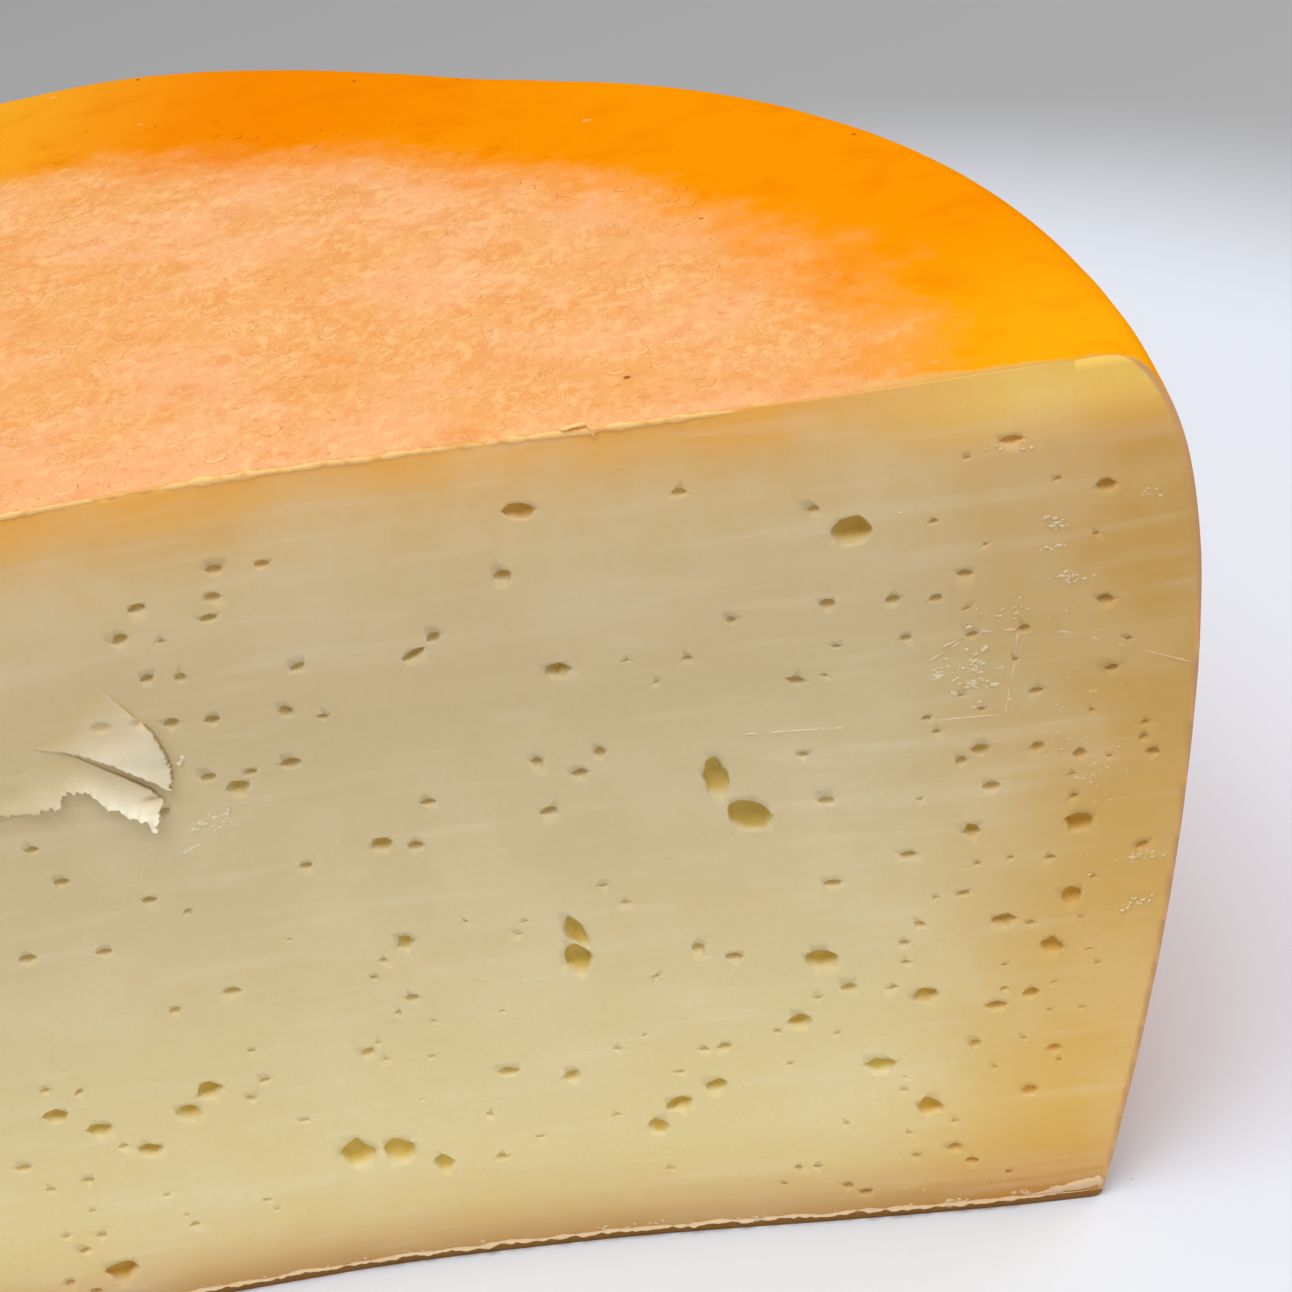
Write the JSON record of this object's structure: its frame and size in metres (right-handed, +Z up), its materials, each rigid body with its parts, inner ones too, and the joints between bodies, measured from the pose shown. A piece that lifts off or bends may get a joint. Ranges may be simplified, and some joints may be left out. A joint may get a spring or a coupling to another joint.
{
  "type": "half wheel of goat gouda cheese",
  "caption": "Half wheel of goat gouda with a bowed cut face, scattered eyes, a torn flap of paste and an orange rind.",
  "frame": {"origin": "on the flat base, under the middle of the half wheel's bounding box", "axes": "+Z up out of the wheel's top; +X along the cut, to the right as seen from the cut side; the cut face looks towards -Y"},
  "size_m": [0.305, 0.1518, 0.1012],
  "materials": {
    "cheese": "creamy pale paste in a thin orange rind, part glossy and part bloomed"
  },
  "bodies": {
    "root": {"cheese": "cheese"}
  },
  "joints": []
}
